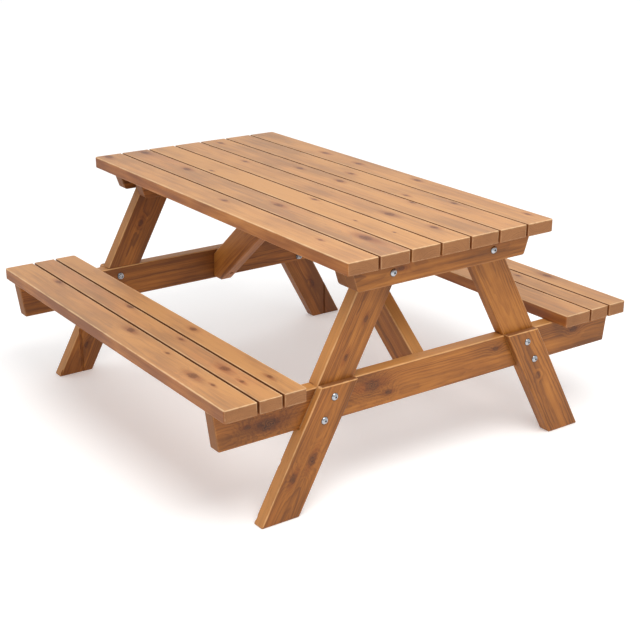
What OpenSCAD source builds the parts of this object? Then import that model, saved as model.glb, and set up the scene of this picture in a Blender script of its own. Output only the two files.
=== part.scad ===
// A-frame picnic table with two fixed benches.
// +Z is up, +X runs along the planks towards the front end, +Y points to the right bench.
// The origin lies on the ground, under the middle of the tabletop.

/* [Tabletop] */
// Height of the tabletop above the ground
table_h = 740; // [640:10:900]
// Length of the tabletop planks
top_l = 1500; // [1250:10:2000]
// Width of one tabletop plank
plank_w = 100; // [84:1:125]
// Thickness of every plank
plank_t = 38; // [30:1:48]
// Gap between neighbouring planks
plank_gap = 7; // [4:1:12]
// Radius on the long edges of the planks
plank_r = 4; // [1:0.5:8]

/* [Benches] */
// Height of the bench seats above the ground
seat_h = 406; // [340:2:490]
// Length of the bench planks
bench_l = 1450; // [1200:10:1990]
// Width of the one wide plank in each bench
seat_wide_w = 100; // [84:1:125]
// Width of the two narrow planks in each bench
seat_narrow_w = 72; // [60:1:90]
// Distance from the middle of the table to the inner edge of a bench
seat_inner_y = 483; // [470:1:580]

/* [Frames] */
// Distance from the ends of the tabletop or the benches, whichever are shorter, to the struts
frame_inset = 65; // [55:1:125]
// Thickness of the frame boards
board_t = 44; // [36:1:54]
// Width of the legs and struts
leg_w = 110; // [92:1:132]
// Distance from the middle of the table to the middle of a foot
foot_y = 545; // [455:5:655]
// Distance from the middle of the table to the middle of a strut, under the tabletop
strut_top_y = 164; // [137:1:197]
// Thickness of the lap that each leg carries up over its strut
lap_t = 22; // [18:1:26]
// How far a lap stands above the seat bearer
lap_rise = 4; // [0:1:12]
// Clearance at each cheek and shoulder of the halved joints
joint_gap = 0.3; // [0.1:0.1:1]

/* [Bearers] */
// Depth of the bearers on the outer face of the strut tops
top_bearer_h = 70; // [60:1:84]
// Depth of the cleats on the inner face of the strut tops
inner_cleat_h = 90; // [75:1:108]
// Depth of the seat bearers
seat_bearer_h = 112; // [94:1:134]
// Depth of the batten under the middle of the tabletop
batten_h = 44; // [42:1:60]
// Distance from the edge of the tabletop to the top bearer's upper corner
top_bearer_inset = 44; // [30:1:52]
// Distance from the edge of the tabletop to the inner cleat's upper corner
inner_cleat_inset = 71; // [59:1:85]
// Distance from the edge of the tabletop to the batten's upper corner
batten_inset = 51; // [40:1:60]
// Distance from the outer edge of a bench to the seat bearer's upper corner
seat_bearer_inset = 3; // [0:1:20]
// How far the sloping ends of the top bearers run in
top_end_run = 24; // [10:1:29]
// How far the sloping ends of the inner cleats run in
cleat_end_run = 28; // [10:1:34]
// How far the sloping ends of the batten run in
batten_end_run = 30; // [10:1:36]
// How far the sloping ends of the seat bearers run in
seat_end_run = 15; // [5:1:20]

/* [Braces] */
// Width of the diagonal braces
brace_w = 100; // [84:1:120]
// Distance from the middle of the table to the line that the two braces stand beside
brace_line_y = 18; // [8:1:20]
// Distance from the middle of the table to where a brace's upper edge meets the tabletop
brace_top_x = 196; // [170:1:235]
// Distance from the middle of the table to the cut end of a brace
brace_end_x = 60; // [50:1:72]
// How far the heel of a brace lies under the seat bearer's top edge
brace_drop = 18; // [10:1:30]
// How far the foot of a brace lies above the seat bearer's bottom edge
brace_rise = 6; // [0:1:20]
// Depth of the blocks that hold the tops of the braces
block_h = 70; // [60:1:84]
// Length of the blocks that hold the tops of the braces
block_l = 210; // [200:1:250]

/* [Bolts] */
// Diameter of the bolts
bolt_d = 10; // [8:1:12]
// Diameter of the domed bolt heads
bolt_head_d = 23; // [19:1:27]
// Height of the domed bolt heads
bolt_head_h = 7; // [5:0.5:8]
// Width across flats of the socket in a bolt head
socket_af = 6; // [5:0.5:8]
// Depth of the socket in a bolt head
socket_depth = 3.5; // [2:0.5:4]
// How far the bolt ends stand past their nuts
bolt_tail = 4; // [2:0.5:8]
// Radial clearance of the bolts in the timber
bolt_fit = 0.5; // [0.2:0.1:0.8]
// Radial clearance of the bolts in their nuts
nut_fit = 0.05; // [0.02:0.01:0.1]
// Width across flats of the nuts
nut_af = 17; // [15:0.5:19]
// Height of the nuts
nut_h = 8; // [6:0.5:10]
// Diameter of the washers
washer_d = 24; // [21:1:28]
// Thickness of the washers
washer_t = 2; // [1.5:0.1:3]
// Height of a seat joint's lower bolt above the seat bearer's bottom edge
seat_bolt_low = 17; // [15:1:22]
// Height of a seat joint's upper bolt above the seat bearer's bottom edge
seat_bolt_high = 80; // [66:1:90]

/* [Screws] */
// Diameter of the timber screws
screw_d = 5; // [4:0.5:6]
// Diameter of the screw heads
screw_head_d = 9.5; // [8:0.5:11]
// Height of the screw heads
screw_head_h = 4; // [2.5:0.5:4]
// Timber between a screw's head and the face it pulls together
screw_grip = 40; // [30:1:40]
// Length of a screw in the far piece of timber
screw_bite = 26; // [20:1:28]
// Radial clearance around the screw shanks
screw_fit = 0.1; // [0.05:0.05:0.3]
// Radial clearance around the screw heads
head_fit = 0.75; // [0.5:0.25:1.5]
// Least distance from a screw to the lower corner of its bearer
screw_margin = 8; // [7:0.5:10]

/* [Hidden] */

// Number of tabletop planks, each of them a node
top_planks = 7;
// Facets of round shapes
round_fn = 48;
// Facets of the domed bolt heads, whose arcs are short
dome_fn = 144;
// Overshoot of cutting shapes past the timber they cut
over = 1;

// Heights of the timber's main levels
under_top = table_h - plank_t;
seat_under = seat_h - plank_t;
seat_bearer_low = seat_under - seat_bearer_h;
lap_top = seat_under + lap_rise;

// Half widths of the tabletop and of the bearers under it
top_half_w = (top_planks * plank_w + (top_planks - 1) * plank_gap) / 2;
top_bearer_half = top_half_w - top_bearer_inset;
inner_cleat_half = top_half_w - inner_cleat_inset;
batten_half = top_half_w - batten_inset;

// Bench widths, and the lower edges of each bench's planks from its left edge
bench_w = seat_wide_w + 2 * seat_narrow_w + 2 * plank_gap;
seat_outer_y = seat_inner_y + bench_w;
seat_widths = [seat_wide_w, seat_narrow_w, seat_narrow_w];
seat_starts = [
  0,
  seat_wide_w + plank_gap,
  seat_wide_w + seat_narrow_w + 2 * plank_gap
];
seat_bearer_half = seat_outer_y - seat_bearer_inset;

// Faces of the frame boards, from the outside in
strut_face = min(top_l, bench_l) / 2 - frame_inset;
leg_face = strut_face + lap_t;
bearer_face = strut_face + board_t;
tongue_back = strut_face - board_t / 2;
strut_back = strut_face - board_t;
cleat_back = strut_back - board_t;

// The lean of the legs and struts, which share one middle line
leg_slope = (foot_y - strut_top_y) / under_top;
leg_half_w = leg_w / 2 / cos(atan(leg_slope));
function leg_y(z) = foot_y - z * leg_slope;

// The slope of the braces and the height of their heels
brace_heel = seat_under - brace_drop;
brace_foot = seat_bearer_low + brace_rise;
brace_angle = atan((under_top - brace_heel) / (strut_back - brace_top_x));

// Bolt positions, as [y, z] on the right side
seat_bolt_points = [
  for (rise = [seat_bolt_low, seat_bolt_high])
    [leg_y(seat_bearer_low + rise), seat_bearer_low + rise]
];
top_bolt_z = under_top - top_bearer_h / 2;
top_bolt_point = [leg_y(top_bolt_z), top_bolt_z];
seat_grip = lap_t + board_t;
top_grip = 3 * board_t;

// Screw positions
top_bearer_screw_x = strut_face + board_t / 2;
seat_screw_x = strut_face - board_t / 2;
block_start = board_t / 2;
block_plank_screws_x = [block_start + block_l / 5, block_start + block_l * 0.9];
block_brace_screws_x = [block_start + block_l * 0.4, block_start + block_l * 0.65];
block_screw_drop = 25;
brace_screw_z = brace_foot + brace_w / 3;

function plank_mid_y(i) = (i - (top_planks + 1) / 2) * (plank_w + plank_gap);
function seat_mid_y(side, i) =
  (side < 0 ? -seat_outer_y : seat_inner_y) + seat_starts[i] + seat_widths[i] / 2;

// A plank's screw, pulled in where its bearer ends short of the plank's middle
function screw_y(mid, low_half) = sign(mid) * min(abs(mid), low_half - screw_margin);
function bearer_screw_y(i) = screw_y(plank_mid_y(i), top_bearer_half - top_end_run);
function batten_screw_y(i) = screw_y(plank_mid_y(i), batten_half - batten_end_run);

// ---- Placing ----

// Front or back end (1 or -1), and right or left side (1 or -1)
module at(end, side = 1) {
  mirror([end < 0 ? 1 : 0, 0, 0])
    mirror([0, side < 0 ? 1 : 0, 0])
      children();
}

// Beside the braces' line: the back brace stands on its right, and the front one on its left
module beside_line(end) {
  translate([0, brace_line_y, 0])
    mirror([0, end > 0 ? 1 : 0, 0])
      children();
}

// A flat outline in Y and Z, extruded along X from x0 to x1
module slab_x(x0, x1) {
  translate([x0, 0, 0])
    rotate([90, 0, 90])
      linear_extrude(x1 - x0)
        children();
}

// ---- Boards ----

module rounded_outline(w, t, r) {
  square([w, t - 2 * r], center = true);
  square([w - 2 * r, t], center = true);
  for (y = [-1, 1], z = [-1, 1])
    translate([y * (w / 2 - r), z * (t / 2 - r)])
      circle(r, $fn = round_fn);
}

module plank(l, w, mid_y, top_z) {
  slab_x(-l / 2, l / 2)
    translate([mid_y, top_z - plank_t / 2])
      rounded_outline(w, plank_t, plank_r);
}

// A bearer across the table, with ends that slope inwards towards the bottom
module bearer(x0, x1, half, h, top_z, run) {
  slab_x(x0, x1)
    polygon([
      [-half, top_z],
      [half, top_z],
      [half - run, top_z - h],
      [-half + run, top_z - h]
    ]);
}

// A length of leg between two levels on the right side
module leg_board(x0, x1, z0, z1, grow = 0) {
  half = leg_half_w + grow;
  slab_x(x0, x1)
    polygon([
      [leg_y(z0) - half, z0],
      [leg_y(z0) + half, z0],
      [leg_y(z1) + half, z1],
      [leg_y(z1) - half, z1]
    ]);
}

// ---- Bolts and screws ----

// A bolt along X, with its head's seat at x = 0
module bolt(grip) {
  dome_r = (bolt_head_h * bolt_head_h + bolt_head_d * bolt_head_d / 4) / (2 * bolt_head_h);
  shank = grip + washer_t + nut_h + bolt_tail;
  rotate([0, 90, 0])
    difference() {
      rotate_extrude($fn = round_fn) {
        translate([0, -shank])
          square([bolt_d / 2, shank + over]);
        intersection() {
          translate([0, bolt_head_h - dome_r])
            circle(dome_r, $fn = dome_fn);
          square(bolt_head_d);
        }
      }
      translate([0, 0, bolt_head_h - socket_depth])
        cylinder(d = socket_af / cos(30), h = socket_depth + over, $fn = 6);
    }
}

module washer() {
  rotate([0, 90, 0])
    difference() {
      cylinder(d = washer_d, h = washer_t, $fn = round_fn);
      translate([0, 0, -over])
        cylinder(d = bolt_d + 2 * bolt_fit, h = washer_t + 2 * over, $fn = round_fn);
    }
}

module nut() {
  rotate([0, 90, 0])
    difference() {
      cylinder(d = nut_af / cos(30), h = nut_h, $fn = 6);
      translate([0, 0, -over])
        cylinder(d = bolt_d + 2 * nut_fit, h = nut_h + 2 * over, $fn = round_fn);
    }
}

module bolt_bore(x0, x1) {
  translate([x0 - over, 0, 0])
    rotate([0, 90, 0])
      cylinder(d = bolt_d + 2 * bolt_fit, h = x1 - x0 + 2 * over, $fn = round_fn);
}

// A screw that points along +Z and crosses from one board to the next at z = 0
module screw() {
  translate([0, 0, -screw_grip])
    cylinder(d = screw_d, h = screw_grip + screw_bite - screw_d, $fn = round_fn);
  translate([0, 0, screw_bite - screw_d])
    cylinder(d1 = screw_d, d2 = screw_d / 5, h = screw_d, $fn = round_fn);
  translate([0, 0, -screw_grip - screw_head_h])
    cylinder(d = screw_head_d, h = screw_head_h, $fn = round_fn);
}

// The screw's pilot hole, and the counterbore up to its head through a board of this depth
module screw_hole(depth) {
  translate([0, 0, -screw_grip - over])
    cylinder(d = screw_d + 2 * screw_fit, h = screw_grip + screw_bite + 2 * over, $fn = round_fn);
  translate([0, 0, -depth - over])
    cylinder(d = screw_head_d + 2 * head_fit, h = depth + over - screw_grip, $fn = round_fn);
}

module at_seat_bolts() {
  for (p = seat_bolt_points)
    translate([0, p[0], p[1]])
      children();
}

module at_top_bolt() {
  translate([0, top_bolt_point[0], top_bolt_point[1]])
    children();
}

// The screws along a bench plank row, over the front seat bearer
module at_seat_screws() {
  for (side = [-1, 1], i = [0, 1, 2])
    translate([seat_screw_x, seat_mid_y(side, i), seat_under])
      children();
}

module at_bearer_screws() {
  for (i = [1 : top_planks])
    translate([top_bearer_screw_x, bearer_screw_y(i), under_top])
      children();
}

module at_batten_screws() {
  for (i = [1 : top_planks])
    translate([0, batten_screw_y(i), under_top])
      children();
}

// Upwards from a brace block into the middle plank
module at_block_plank_screws(end) {
  beside_line(end)
    for (x = block_plank_screws_x)
      translate([x, -board_t / 2, under_top])
        children();
}

// Sideways from a brace block into its brace
module at_block_brace_screws(end) {
  beside_line(end)
    for (x = block_brace_screws_x)
      translate([x, 0, under_top - block_screw_drop])
        rotate([-90, 0, 0])
          children();
}

// Outwards from a brace into its seat bearer
module at_brace_foot_screw(end) {
  beside_line(end)
    translate([strut_back, board_t / 2, brace_screw_z])
      rotate([0, 90, 0])
        children();
}

// ---- Planks ----

module top_plank(i) {
  color("burlywood")
    difference() {
      plank(top_l, plank_w, plank_mid_y(i), table_h);
      for (end = [-1, 1])
        at(end)
          translate([top_bearer_screw_x, bearer_screw_y(i), under_top])
            screw_hole(top_bearer_h);
      translate([0, batten_screw_y(i), under_top])
        screw_hole(batten_h);
      if (i == (top_planks + 1) / 2)
        for (end = [-1, 1])
          at(end)
            at_block_plank_screws(end)
              screw_hole(block_h);
    }
}

module seat_plank(side, i) {
  color("burlywood")
    difference() {
      plank(bench_l, seat_widths[i], seat_mid_y(side, i), seat_h);
      for (end = [-1, 1])
        at(end)
          translate([seat_screw_x, seat_mid_y(side, i), seat_under])
            screw_hole(seat_bearer_h);
    }
}

// ---- End frames ----

module top_bearer(end) {
  color("sandybrown")
    at(end)
      difference() {
        bearer(strut_face, bearer_face, top_bearer_half, top_bearer_h, under_top, top_end_run);
        for (side = [-1, 1])
          at(1, side)
            at_top_bolt()
              bolt_bore(strut_face, bearer_face);
        at_bearer_screws()
          screw_hole(top_bearer_h);
      }
}

module inner_cleat(end) {
  color("sandybrown")
    at(end)
      difference() {
        bearer(cleat_back, strut_back, inner_cleat_half, inner_cleat_h, under_top, cleat_end_run);
        for (side = [-1, 1])
          at(1, side)
            at_top_bolt()
              bolt_bore(cleat_back, strut_back);
      }
}

module seat_bearer(end) {
  color("sandybrown")
    at(end)
      difference() {
        bearer(strut_back, strut_face, seat_bearer_half, seat_bearer_h, seat_under, seat_end_run);
        for (side = [-1, 1])
          at(1, side) {
            leg_board(
              tongue_back, strut_face + over,
              seat_bearer_low - over, seat_under + over, joint_gap
            );
            at_seat_bolts()
              bolt_bore(strut_back, strut_face);
          }
        at_seat_screws()
          screw_hole(seat_bearer_h);
        at_brace_foot_screw(end)
          screw_hole(screw_grip);
      }
}

// The strut stands on the seat bearer, and its tongue runs down in the bearer's housing
module strut(end, side) {
  color("peru")
    at(end, side)
      difference() {
        union() {
          leg_board(strut_back, strut_face, seat_under, under_top);
          leg_board(tongue_back, strut_face, seat_bearer_low, seat_under + over);
        }
        at_seat_bolts()
          bolt_bore(tongue_back, strut_face);
        at_top_bolt()
          bolt_bore(strut_back, strut_face);
      }
}

// The leg is full thickness below the seat bearer, and laps over the strut's tongue above
module leg(end, side) {
  color("peru")
    at(end, side)
      difference() {
        union() {
          leg_board(strut_face, leg_face, 0, lap_top);
          leg_board(leg_face - board_t, strut_face + over, 0, seat_bearer_low - joint_gap);
        }
        at_seat_bolts()
          bolt_bore(strut_face, leg_face);
      }
}

// ---- Middle of the table ----

module centre_batten() {
  color("sandybrown")
    difference() {
      bearer(-board_t / 2, board_t / 2, batten_half, batten_h, under_top, batten_end_run);
      at_batten_screws()
        screw_hole(batten_h);
    }
}

module brace(end) {
  color("peru")
    at(end)
      difference() {
        beside_line(end)
          intersection() {
            translate([strut_back, 0, brace_heel])
              rotate([0, brace_angle, 0])
                translate([-top_l, 0, -brace_w])
                  cube([2 * top_l, board_t, brace_w]);
            translate([brace_end_x, -over, brace_foot])
              cube([strut_back - brace_end_x, board_t + 2 * over, under_top - brace_foot]);
          }
        at_block_brace_screws(end)
          screw_hole(board_t);
        at_brace_foot_screw(end)
          screw_hole(top_l / 4);
      }
}

module brace_block(end) {
  color("sandybrown")
    at(end)
      difference() {
        beside_line(end)
          translate([block_start, -board_t, under_top - block_h])
            cube([block_l, board_t, block_h]);
        at_block_plank_screws(end)
          screw_hole(block_h);
        at_block_brace_screws(end)
          screw_hole(board_t);
      }
}

// ---- Fixings ----

module at_corners() {
  for (end = [-1, 1], side = [-1, 1])
    at(end, side)
      children();
}

module seat_joint_bolts() {
  color("silver")
    at_corners()
      at_seat_bolts()
        translate([leg_face, 0, 0])
          bolt(seat_grip);
}

module seat_joint_washers() {
  color("silver")
    at_corners()
      at_seat_bolts()
        translate([strut_back - washer_t, 0, 0])
          washer();
}

module seat_joint_nuts() {
  color("silver")
    at_corners()
      at_seat_bolts()
        translate([strut_back - washer_t - nut_h, 0, 0])
          nut();
}

module top_joint_bolts() {
  color("silver")
    at_corners()
      at_top_bolt()
        translate([bearer_face, 0, 0])
          bolt(top_grip);
}

module top_joint_washers() {
  color("silver")
    at_corners()
      at_top_bolt()
        translate([cleat_back - washer_t, 0, 0])
          washer();
}

module top_joint_nuts() {
  color("silver")
    at_corners()
      at_top_bolt()
        translate([cleat_back - washer_t - nut_h, 0, 0])
          nut();
}

module tabletop_screws() {
  color("gray") {
    for (end = [-1, 1])
      at(end) {
        at_bearer_screws()
          screw();
        at_block_plank_screws(end)
          screw();
      }
    at_batten_screws()
      screw();
  }
}

module bench_screws() {
  color("gray")
    for (end = [-1, 1])
      at(end)
        at_seat_screws()
          screw();
}

module brace_screws() {
  color("gray")
    for (end = [-1, 1])
      at(end) {
        at_block_brace_screws(end)
          screw();
        at_brace_foot_screw(end)
          screw();
      }
}

// ---- Nodes ----

top_plank(1);  // top_plank_1
top_plank(2);  // top_plank_2
top_plank(3);  // top_plank_3
top_plank(4);  // top_plank_4
top_plank(5);  // top_plank_5
top_plank(6);  // top_plank_6
top_plank(7);  // top_plank_7
seat_plank(-1, 0);  // left_seat_outer_plank
seat_plank(-1, 1);  // left_seat_middle_plank
seat_plank(-1, 2);  // left_seat_inner_plank
seat_plank(1, 0);  // right_seat_inner_plank
seat_plank(1, 1);  // right_seat_middle_plank
seat_plank(1, 2);  // right_seat_outer_plank
top_bearer(1);  // front_top_bearer
top_bearer(-1);  // back_top_bearer
inner_cleat(1);  // front_inner_cleat
inner_cleat(-1);  // back_inner_cleat
seat_bearer(1);  // front_seat_bearer
seat_bearer(-1);  // back_seat_bearer
strut(1, -1);  // front_left_strut
strut(1, 1);  // front_right_strut
strut(-1, -1);  // back_left_strut
strut(-1, 1);  // back_right_strut
leg(1, -1);  // front_left_leg
leg(1, 1);  // front_right_leg
leg(-1, -1);  // back_left_leg
leg(-1, 1);  // back_right_leg
centre_batten();
brace(1);  // front_brace
brace(-1);  // back_brace
brace_block(1);  // front_brace_block
brace_block(-1);  // back_brace_block
seat_joint_bolts();
seat_joint_washers();
seat_joint_nuts();
top_joint_bolts();
top_joint_washers();
top_joint_nuts();
tabletop_screws();
bench_screws();
brace_screws();
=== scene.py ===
"""Looks of the picnic table: shaped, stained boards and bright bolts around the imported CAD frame."""

import math
from random import Random

import bmesh
import bpy
from mathutils import Matrix, Vector
from mathutils.geometry import convex_hull_2d


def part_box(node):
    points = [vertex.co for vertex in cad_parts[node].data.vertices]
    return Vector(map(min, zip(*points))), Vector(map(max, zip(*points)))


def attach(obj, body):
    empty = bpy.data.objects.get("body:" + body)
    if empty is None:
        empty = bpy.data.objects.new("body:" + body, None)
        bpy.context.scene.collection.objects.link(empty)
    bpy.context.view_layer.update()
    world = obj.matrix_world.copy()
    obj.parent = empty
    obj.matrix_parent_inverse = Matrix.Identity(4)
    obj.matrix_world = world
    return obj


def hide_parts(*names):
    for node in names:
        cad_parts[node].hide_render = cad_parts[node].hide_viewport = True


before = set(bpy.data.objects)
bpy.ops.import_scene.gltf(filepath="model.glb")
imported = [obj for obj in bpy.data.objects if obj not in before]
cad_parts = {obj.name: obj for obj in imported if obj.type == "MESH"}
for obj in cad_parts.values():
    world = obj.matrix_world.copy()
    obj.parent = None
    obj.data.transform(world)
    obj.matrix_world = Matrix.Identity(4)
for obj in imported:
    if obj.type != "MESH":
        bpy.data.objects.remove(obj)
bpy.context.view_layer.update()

MM = 0.001
X, Y, Z = Vector((1, 0, 0)), Vector((0, 1, 0)), Vector((0, 0, 1))

# Vertices closer than WELD are one, and a length below TINY is none
WELD, TINY = 1e-6, 1e-7

# ---- What the frame says ----

# A vertex lies at a level if it is this near to it
NEAR = 0.2 * MM


def corners(node):
    """The node's vertices."""
    return [v.co.copy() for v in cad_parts[node].data.vertices]


def middle(node):
    """The middle of the node's box."""
    low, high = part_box(node)
    return (low + high) / 2


def reach(node, axis, **at):
    """The least and greatest coordinate along axis of the node's vertices at the levels in at."""
    index = {"x": 0, "y": 1, "z": 2}
    found = [
        co[index[axis]] for co in corners(node)
        if all(abs(co[index[name]] - level) < NEAR for name, level in at.items())
    ]
    return min(found), max(found)


def solids(node):
    """The boxes of the separate solids of a group node, as (low, high), in a fixed order."""
    mesh = bmesh.new()
    mesh.from_mesh(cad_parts[node].data)
    bmesh.ops.remove_doubles(mesh, verts=mesh.verts, dist=WELD)
    boxes, left = [], set(mesh.verts)
    while left:
        island, front = set(), [left.pop()]
        while front:
            vert = front.pop()
            island.add(vert)
            for edge in vert.link_edges:
                other = edge.other_vert(vert)
                if other in left:
                    left.discard(other)
                    front.append(other)
        low = Vector([min(v.co[i] for v in island) for i in range(3)])
        high = Vector([max(v.co[i] for v in island) for i in range(3)])
        boxes.append((low, high))
    mesh.free()
    return sorted(boxes, key=lambda box: tuple(round(c, 4) for c in (box[0] + box[1])))


# ---- Mesh building ----

# An edge is a corner if its faces turn by more than this, in radians, and two directions are
# parallel if the cosine between them is above PARALLEL
CORNER_TURN = 0.3
PARALLEL = 0.999


def prism(points, along):
    """A closed prism: a flat outline of 3D points, carried along a vector."""
    mesh = bmesh.new()
    bottom = [mesh.verts.new(p) for p in points]
    top = [mesh.verts.new(Vector(p) + along) for p in points]
    count = len(points)
    mesh.faces.new(bottom[::-1])
    mesh.faces.new(top)
    for i in range(count):
        j = (i + 1) % count
        mesh.faces.new((bottom[i], bottom[j], top[j], top[i]))
    bmesh.ops.recalc_face_normals(mesh, faces=mesh.faces)
    return mesh


def round_edges(mesh, radius, segments, chosen=lambda edge: True):
    """Rounds the outward edges that chosen accepts."""
    edges = [
        edge for edge in mesh.edges
        if edge.is_convex and edge.calc_face_angle(0) > CORNER_TURN and chosen(edge)
    ]
    bmesh.ops.bevel(
        mesh, geom=edges, offset=radius, segments=segments, profile=0.5,
        affect="EDGES", clamp_overlap=True,
    )


def points_along(axis):
    """Accepts edges that run along axis."""
    def chosen(edge):
        run = edge.verts[1].co - edge.verts[0].co
        return run.length > TINY and abs(run.normalized().dot(axis)) > PARALLEL
    return chosen


def cylinder(mesh, start, end, radius, sides=32):
    """Adds a closed cylinder to a mesh of cutters."""
    run = end - start
    turn = Z.rotation_difference(run.normalized()).to_matrix().to_4x4()
    place = Matrix.Translation((start + end) / 2) @ turn
    bmesh.ops.create_cone(
        mesh, cap_ends=True, segments=sides, radius1=radius, radius2=radius,
        depth=run.length, matrix=place,
    )


def to_object(name, mesh):
    data = bpy.data.meshes.new(name)
    mesh.to_mesh(data)
    mesh.free()
    piece = bpy.data.objects.new(name, data)
    bpy.context.scene.collection.objects.link(piece)
    return piece


def change_by(piece, operation, cutter_mesh):
    """Applies a boolean operation with a mesh of cutters to the piece."""
    cutter = to_object(piece.name + "_cutter", cutter_mesh)
    change = piece.modifiers.new("change", "BOOLEAN")
    change.object = cutter
    change.operation = operation
    change.solver = "EXACT"
    change.use_self = True
    settle(piece)
    data = cutter.data
    bpy.data.objects.remove(cutter)
    bpy.data.meshes.remove(data)


def settle(piece):
    """Applies the piece's modifiers."""
    bpy.context.view_layer.update()
    evaluated = piece.evaluated_get(bpy.context.evaluated_depsgraph_get())
    data = bpy.data.meshes.new_from_object(evaluated)
    old = piece.data
    piece.modifiers.clear()
    piece.data = data
    data.name = piece.name
    bpy.data.meshes.remove(old)


def finish_shading(piece, angle=40):
    """Smooth faces, with edges sharper than angle degrees kept, and flat faces shaded flat."""
    for face in piece.data.polygons:
        face.use_smooth = True
    piece.data.set_sharp_from_angle(angle=math.radians(angle))
    weigh = piece.modifiers.new("flat_faces", "WEIGHTED_NORMAL")
    weigh.keep_sharp = True
    weigh.weight = 100


def write_vectors(piece, name, function):
    """Writes function(place) of each vertex as a mesh attribute for the materials."""
    layer = piece.data.attributes.new(name, "FLOAT_VECTOR", "POINT")
    values = [c for vert in piece.data.vertices for c in function(vert.co)]
    layer.data.foreach_set("vector", values)


# ---- Materials ----


class Nodes:
    """Short names for building a node tree."""

    def __init__(self, material):
        material.use_nodes = True
        self.tree = material.node_tree
        self.tree.nodes.clear()

    def add(self, kind, **settings):
        node = self.tree.nodes.new("ShaderNode" + kind)
        for name, value in settings.items():
            setattr(node, name, value)
        return node

    def put(self, value, socket):
        """Links the value to the socket if it comes from a node, and otherwise sets it there."""
        if isinstance(value, bpy.types.NodeSocket):
            self.tree.links.new(value, socket)
        else:
            socket.default_value = value

    def fill(self, node, *values):
        """Puts the values into the node's sockets in turn, and gives its first output."""
        for value, socket in zip(values, node.inputs):
            self.put(value, socket)
        return node.outputs[0]

    def math(self, operation, *values, clamp=False):
        return self.fill(self.add("Math", operation=operation, use_clamp=clamp), *values)

    def times(self, a, b):
        return self.math("MULTIPLY", a, b)

    def layers(self, total, *layers):
        """The total plus each layer times its amount."""
        for layer, amount in layers:
            total = self.math("MULTIPLY_ADD", layer, amount, total)
        return total

    def fold(self, operation, values):
        """All values joined by one operation, such as their sum or the least of them."""
        total = values[0]
        for value in values[1:]:
            total = self.math(operation, total, value)
        return total

    def vector(self, operation, *values):
        node = self.add("VectorMath", operation=operation)
        self.fill(node, *values)
        return node.outputs["Value" if operation == "LENGTH" else "Vector"]

    def split(self, vector):
        node = self.add("SeparateXYZ")
        self.put(vector, node.inputs[0])
        return node.outputs

    def join(self, x, y, z):
        return self.fill(self.add("CombineXYZ"), x, y, z)

    def noise(self, vector, scale, detail=2.0, rough=0.5):
        """Noise from 0 to 1, with one scale or with its own scale along each axis."""
        if isinstance(scale, tuple):
            vector = self.vector("MULTIPLY", vector, scale)
            scale = 1.0
        node = self.add("TexNoise")
        self.put(vector, node.inputs["Vector"])
        for name, value in (("Scale", scale), ("Detail", detail), ("Roughness", rough)):
            node.inputs[name].default_value = value
        return node.outputs["Fac"]

    def centred(self, value):
        """A value from 0 to 1, moved to lie from -0.5 to 0.5."""
        return self.math("SUBTRACT", value, 0.5)

    def smooth(self, value, low, high, to_low=0.0, to_high=1.0):
        """A smooth step from to_low to to_high as value goes from low to high."""
        node = self.add("MapRange", interpolation_type="SMOOTHSTEP")
        return self.fill(node, value, low, high, to_low, to_high)

    def mix(self, factor, a, b, blend="MIX"):
        node = self.add("Mix", data_type="RGBA", blend_type=blend)
        self.put(factor, node.inputs["Factor"])
        self.put(a, node.inputs[6])
        self.put(b, node.inputs[7])
        return node.outputs[2]

    def own(self, name, kind="GEOMETRY", output="Vector"):
        """A mesh attribute, or with kind OBJECT a property of the piece."""
        node = self.add("Attribute", attribute_name=name, attribute_type=kind)
        return node.outputs[output]

    def bump(self, height, distance, strength):
        node = self.add("Bump")
        node.inputs["Strength"].default_value = strength
        node.inputs["Distance"].default_value = distance
        self.put(height, node.inputs["Height"])
        return node.outputs[0]

    def principled(self, **values):
        node = self.add("BsdfPrincipled")
        for name, value in values.items():
            self.put(value, node.inputs[name.replace("_", " ")])
        out = self.add("OutputMaterial")
        self.tree.links.new(node.outputs[0], out.inputs[0])


def rgb(red, green, blue):
    """A colour given as it looks on screen, from 0 to 255, as the shader's linear colour."""
    def linear(value):
        value /= 255
        return value / 12.92 if value <= 0.04045 else ((value + 0.055) / 1.055) ** 2.4
    return (linear(red), linear(green), linear(blue), 1.0)


# Most knots that one board can have, and one that lies off the board, for a board with fewer
KNOTS = 6
NO_KNOT = [9.0, 9.0, 5 * MM]

# A knot moves this far along the board for each metre into it
KNOT_SLANT = 0.35
# A knot's heart is drawn out along the grain and its halo more so: factors on a point's distance
HEART_STRETCH = (0.62, 1.0, 0.0)
HALO_STRETCH = (0.26, 0.8, 0.0)
# How uneven a heart's outline is, in knot radii, and the repeats per metre of its unevenness
KNOT_WOBBLE = 1.1
WOBBLE_SCALE = 80.0
# The rings' swell round a knot is EULER to the power -SWELL_FALL times the distance squared
EULER = 2.718
SWELL_FALL = 0.32
SWELL_SHARE = 0.9

# Repeats per metre along, across and through a board
WAVE_SCALE = (1.6, 7.0, 7.0)
RIPPLE_SCALE = (15.0, 48.0, 48.0)
FIBRE_SCALE = (9.0, 420.0, 420.0)
STREAK_SCALE = (2.2, 70.0, 70.0)
CLOUD_SCALE = (3.2, 11.0, 11.0)
BLUSH_SCALE = (2.4, 9.0, 9.0)
PORE_SCALE = (60.0, 900.0, 900.0)
CHECK_SCALE = (26.0, 330.0, 330.0)
CHECK_PATCH_SCALE = (5.0, 16.0, 16.0)
SCUFF_SCALE = (14.0, 60.0, 60.0)
END_SPECK_SCALE = 260.0
BLUSH_OFFSET = (7.0, 3.0, 5.0)

# Rings per metre of radius, and how far waves, ripples and uneven growth move them
RINGS = 300.0
WAVE_SIZE = 15 * MM
RIPPLE_SIZE = 4 * MM
PACE_SCALE = 60.0
PACE_SIZE = 1.6

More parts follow.
